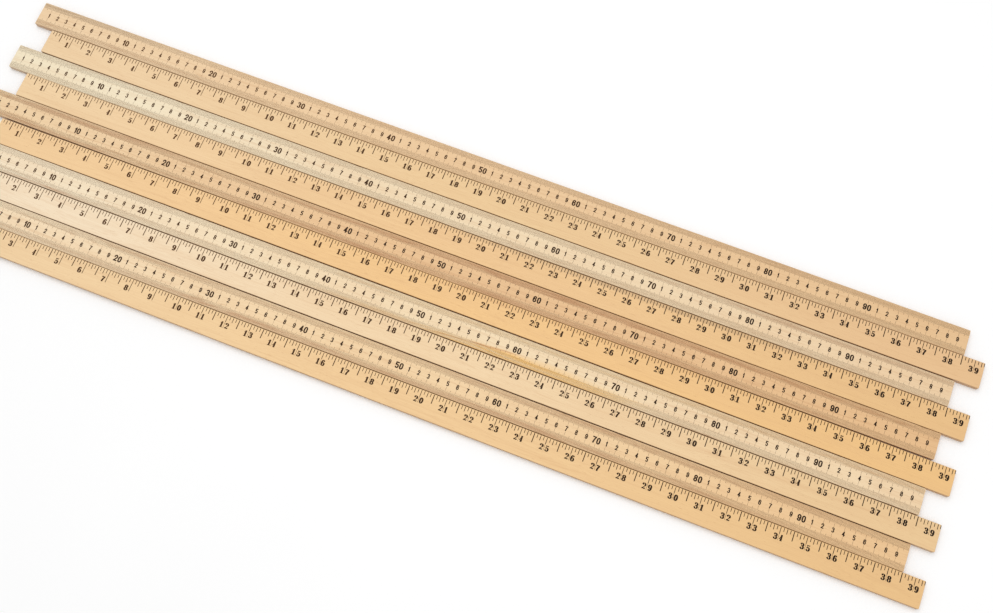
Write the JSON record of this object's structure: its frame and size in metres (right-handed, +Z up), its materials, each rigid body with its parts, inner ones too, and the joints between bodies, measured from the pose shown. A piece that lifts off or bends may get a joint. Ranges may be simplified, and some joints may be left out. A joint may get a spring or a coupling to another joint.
{
  "type": "wooden metre stick set",
  "caption": "Flat wooden metre sticks laid side by side as a row, with printed centimetre scales and inch scales facing up in turn; each stick lifts off by itself.",
  "frame": {"origin": "middle of the row's footprint, on the surface that the sticks lie on", "axes": "+X along the sticks from their zero ends, +Y across the row towards stick 1, +Z up out of the upper faces"},
  "size_m": [1.023, 0.2699, 0.006],
  "materials": {
    "wood_tan": "bare sanded hardwood lath, light tan, fine straight grain, thin clear coat",
    "wood_cream": "bare sanded hardwood lath, pale greyish cream, fine straight grain, thin clear coat",
    "wood_brown_tan": "bare sanded hardwood lath, darker brown tan with brown grain lines, thin clear coat",
    "wood_honey": "sanded hardwood lath, warm honey yellow, fine straight grain, thin clear coat",
    "wood_amber": "sanded hardwood lath, more orange amber, fine straight grain, thin clear coat",
    "wood_pale_honey": "sanded hardwood lath, pale creamy honey, fine straight grain, thin clear coat",
    "scale_ink": "thin printed brown-black ink film, matt, slightly worn"
  },
  "bodies": {
    "stick_01": {"stick_01_cm_up": "wood_tan"},
    "stick_02": {"stick_02_inch_up": "wood_honey"},
    "stick_03": {"stick_03_cm_up": "wood_cream"},
    "stick_04": {"stick_04_inch_up": "wood_honey"},
    "stick_05": {"stick_05_cm_up": "wood_brown_tan"},
    "stick_06": {"stick_06_inch_up": "wood_amber"},
    "stick_07": {"stick_07_cm_up": "wood_cream"},
    "stick_08": {"stick_08_inch_up": "wood_pale_honey"},
    "stick_09": {"stick_09_cm_up": "wood_tan"},
    "stick_10": {"stick_10_inch_up": "wood_honey"}
  },
  "joints": [
    {"name": "stick_01_lift", "type": "slide", "parent": "stick_05", "child": "stick_01", "axis": [0, 0, 1], "range_m": [0, 0.05]},
    {"name": "stick_02_lift", "type": "slide", "parent": "stick_05", "child": "stick_02", "axis": [0, 0, 1], "range_m": [0, 0.05]},
    {"name": "stick_03_lift", "type": "slide", "parent": "stick_05", "child": "stick_03", "axis": [0, 0, 1], "range_m": [0, 0.05]},
    {"name": "stick_04_lift", "type": "slide", "parent": "stick_05", "child": "stick_04", "axis": [0, 0, 1], "range_m": [0, 0.05]},
    {"name": "stick_06_lift", "type": "slide", "parent": "stick_05", "child": "stick_06", "axis": [0, 0, 1], "range_m": [0, 0.05]},
    {"name": "stick_07_lift", "type": "slide", "parent": "stick_05", "child": "stick_07", "axis": [0, 0, 1], "range_m": [0, 0.05]},
    {"name": "stick_08_lift", "type": "slide", "parent": "stick_05", "child": "stick_08", "axis": [0, 0, 1], "range_m": [0, 0.05]},
    {"name": "stick_09_lift", "type": "slide", "parent": "stick_05", "child": "stick_09", "axis": [0, 0, 1], "range_m": [0, 0.05]},
    {"name": "stick_10_lift", "type": "slide", "parent": "stick_05", "child": "stick_10", "axis": [0, 0, 1], "range_m": [0, 0.05]}
  ]
}
